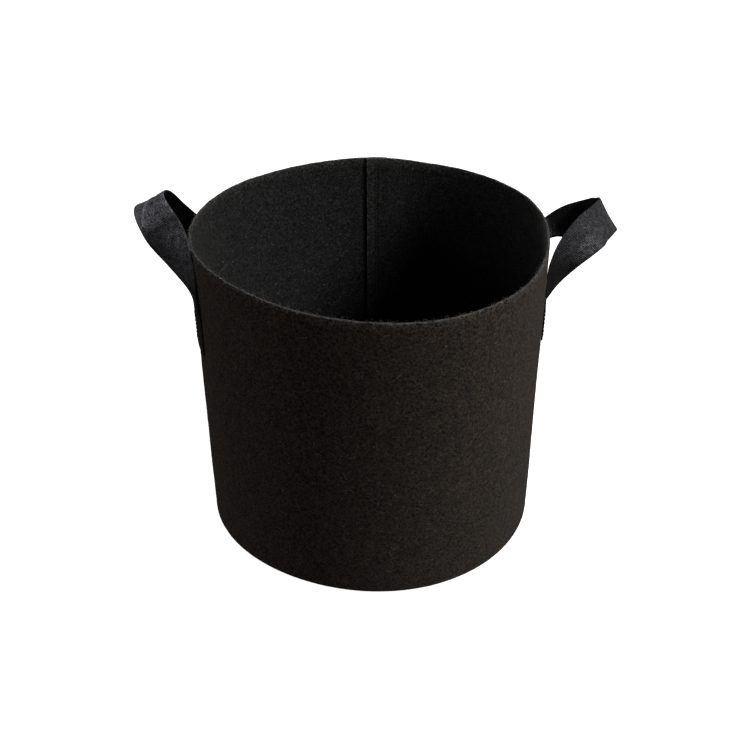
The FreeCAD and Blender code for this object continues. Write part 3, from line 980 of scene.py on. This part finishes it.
def declareBag():
    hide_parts("side_wall")
    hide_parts("base_panel")
    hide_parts("side_seam_stitches")
    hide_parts("base_seam_thread")
    for (side, leg), piece in legStitches.items():
        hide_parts(f"{side}_{leg}_leg_stitches")
    feltPieces = (feltWall, feltBase, wallFuzz, rimFuzz, strayFibre)
    threads = (sideSeam, baseSeam, *legStitches.values())
    for slot, pieces in (("felt", feltPieces), ("thread", threads)):
        for piece in pieces:
            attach(piece, "bag")


def declareHandle(side, piece):
    handle = handles[side]
    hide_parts(f"{side}_handle_loop", f"{side}_front_leg", f"{side}_rear_leg")
    joint = next(joint for joint in frame["joints"] if joint["name"] == f"{side}_handle_swing")
    hinge = np.array(joint["pos_m"])
    lean = math.radians(handle["lean"])
    rise = math.sin(lean) * handleAxes(handle)[0] + math.cos(lean) * np.array([0, 0, 1])
    start, end = (tuple(hinge + height * mm * rise) for height in strap["fold"])
    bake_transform(piece, "bag", f"{side}_handle", start=start, end=end)


declareBag()
for side, (piece, length) in straps.items():
    declareHandle(side, piece)


# floor, light and camera

studio = {
    "lights": {         # azimuth and height in degrees, size, power
        "keyLight": (-28.0, 38.0, 0.9, 75.0),
        "fillLight": (190.0, 16.0, 1.0, 14.0),
        "backLight": (95.0, 14.0, 1.0, 14.0),
    },
    "lightDistance": 2.6,
    "ambient": 0.08,
    "floor": "#f2f2f2",
    "floorHalf": 12.0,
    "floorGlow": 0.97,
    "aim": (0.0, 0.0, 0.155),
    "cameraAzimuth": -95.0,
    "cameraHeight": 31.37,
    "cameraDistance": 1.225,
    "lens": 58.25,
    "shift": (0.0033, -0.0072),
}


def fromBag(azimuth, height, distance):
    angle, rise = math.radians(azimuth), math.radians(height)
    way = Vector((math.cos(angle) * math.cos(rise), math.sin(angle) * math.cos(rise), math.sin(rise)))
    return Vector(studio["aim"]) + way * distance


def aimAtBag(item, place):
    item.location = place
    item.rotation_euler = (Vector(studio["aim"]) - place).to_track_quat("-Z", "Y").to_euler()
    scene.collection.objects.link(item)


def makeLights():
    for name, (azimuth, height, size, power) in studio["lights"].items():
        lamp = bpy.data.lights.new(name, "AREA")
        lamp.shape = "DISK"
        lamp.size = size
        lamp.energy = power
        aimAtBag(bpy.data.objects.new(name, lamp), fromBag(azimuth, height, studio["lightDistance"]))


def makeFloor():
    half = studio["floorHalf"]
    mesh = bpy.data.meshes.new("floor")
    corners = [(-half, -half, 0), (half, -half, 0), (half, half, 0), (-half, half, 0)]
    mesh.from_pydata(corners, [], [(0, 1, 2, 3)])
    floor = addObject("floor", mesh)
    material = bpy.data.materials.new("palePaperSweep")
    material.use_nodes = True
    shader = material.node_tree.nodes["Principled BSDF"].inputs
    shader["Base Color"].default_value = colour(studio["floor"])
    shader["Roughness"].default_value = 0.9
    shader["Emission Color"].default_value = colour("#ffffff")
    shader["Emission Strength"].default_value = studio["floorGlow"]
    floor.visible_diffuse = False       # a white sweep that throws no light up on the bag
    floor.visible_glossy = False
    mesh.materials.append(material)


def makeWorld():
    world = bpy.data.worlds.new("studioWorld")
    scene.world = world
    world.use_nodes = True
    tree = world.node_tree
    tree.nodes.clear()
    toCamera = addNode(tree, "ShaderNodeLightPath").outputs["Is Camera Ray"]
    strength = rangeOf(tree, toCamera, 0.0, 1.0, studio["ambient"], 1.0)
    backdrop = addNode(tree, "ShaderNodeBackground", {"Color": (1, 1, 1, 1), "Strength": strength})
    addNode(tree, "ShaderNodeOutputWorld", {"Surface": backdrop.outputs[0]})


def makeCamera():
    camera = bpy.data.cameras.new("camera")
    camera.lens = studio["lens"]
    camera.shift_x, camera.shift_y = studio["shift"]
    holder = bpy.data.objects.new("camera", camera)
    aimAtBag(holder, fromBag(studio["cameraAzimuth"], studio["cameraHeight"], studio["cameraDistance"]))
    scene.camera = holder


makeLights()
makeFloor()
makeWorld()
makeCamera()
scene.view_settings.view_transform = "Standard"
print("studio made")

bpy.context.view_layer.update()
